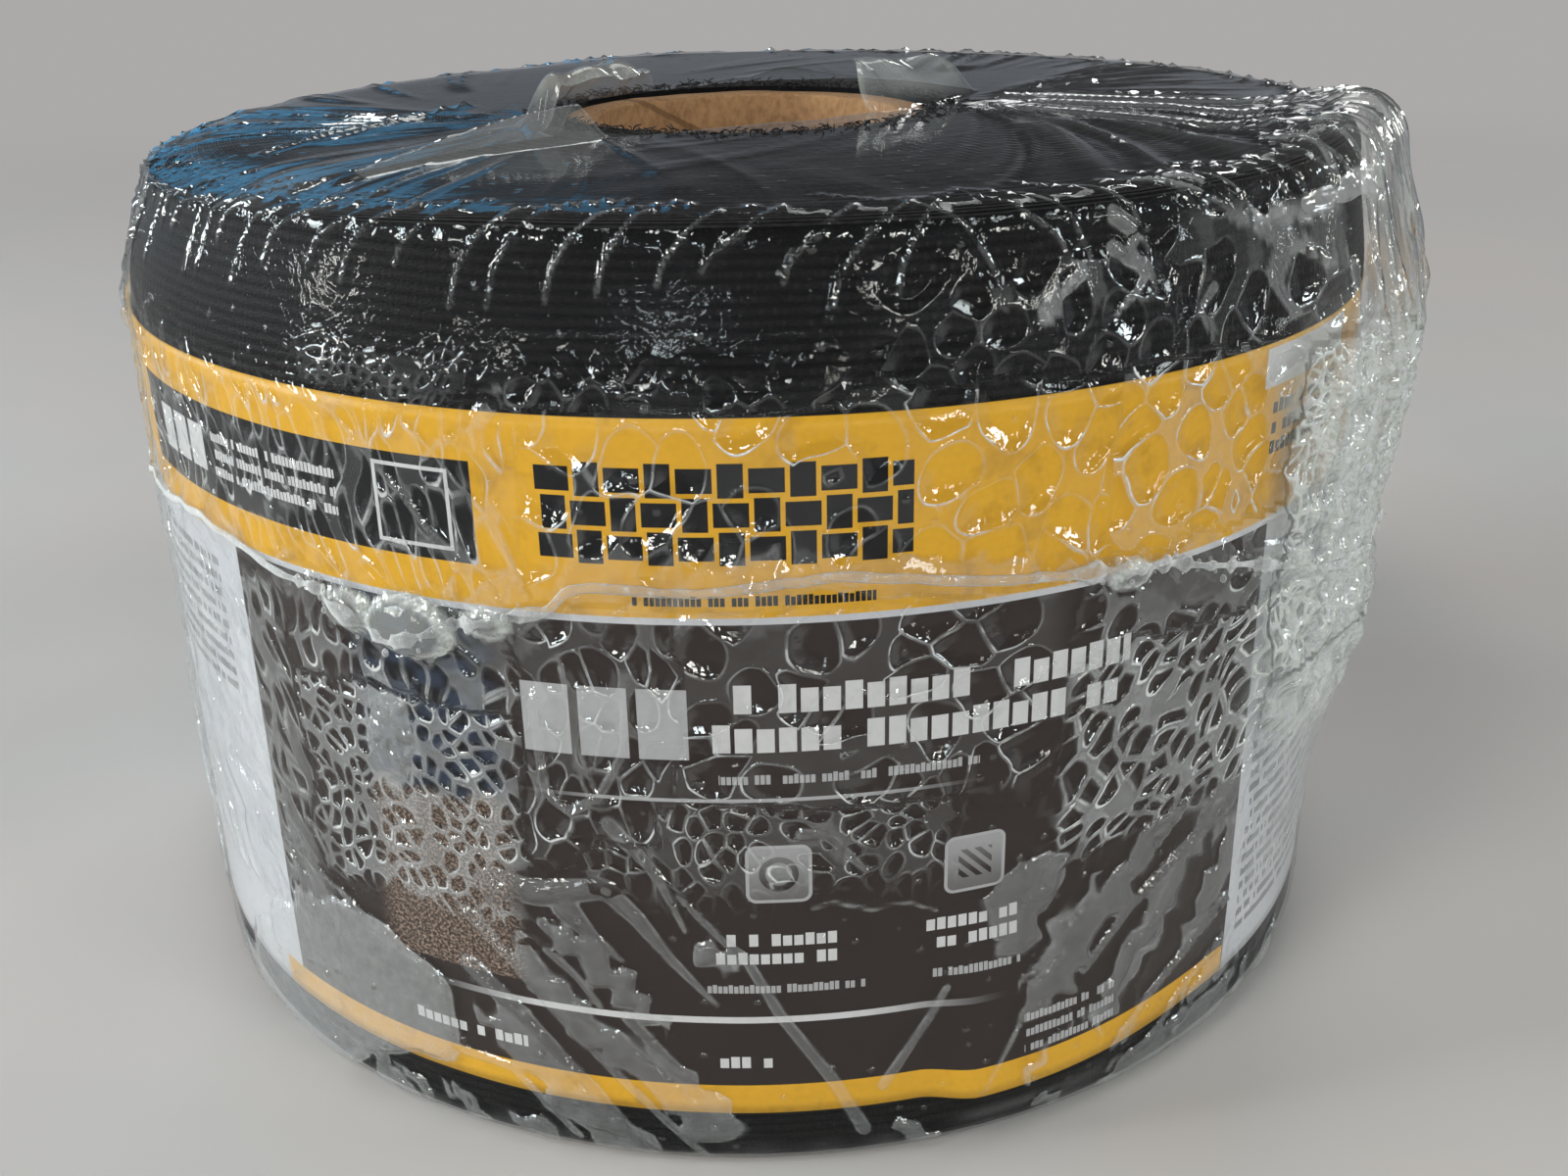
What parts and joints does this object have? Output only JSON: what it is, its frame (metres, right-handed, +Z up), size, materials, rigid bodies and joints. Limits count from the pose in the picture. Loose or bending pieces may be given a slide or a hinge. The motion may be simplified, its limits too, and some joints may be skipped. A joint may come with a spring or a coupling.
{
  "type": "reinforcing fabric roll",
  "caption": "Upright roll of black reinforcing fabric on a cardboard core, with a paper label band round it and clear shrink film over the whole.",
  "frame": {"origin": "on the core's axis, at the level of the floor the roll stands on", "axes": "+Z up along the core's axis; the label's front panel faces -Y"},
  "size_m": [0.1565, 0.1558, 0.1023],
  "materials": {
    "core_cardboard": "plain kraft board",
    "saturated_fabric": "black saturated open weave",
    "label_paper": "printed satin paper",
    "clear_film": "clear glossy shrink film"
  },
  "bodies": {
    "root": {"core_tube": "core_cardboard", "fabric_roll": "saturated_fabric", "label_band": "label_paper", "shrink_film": "clear_film"}
  },
  "joints": []
}
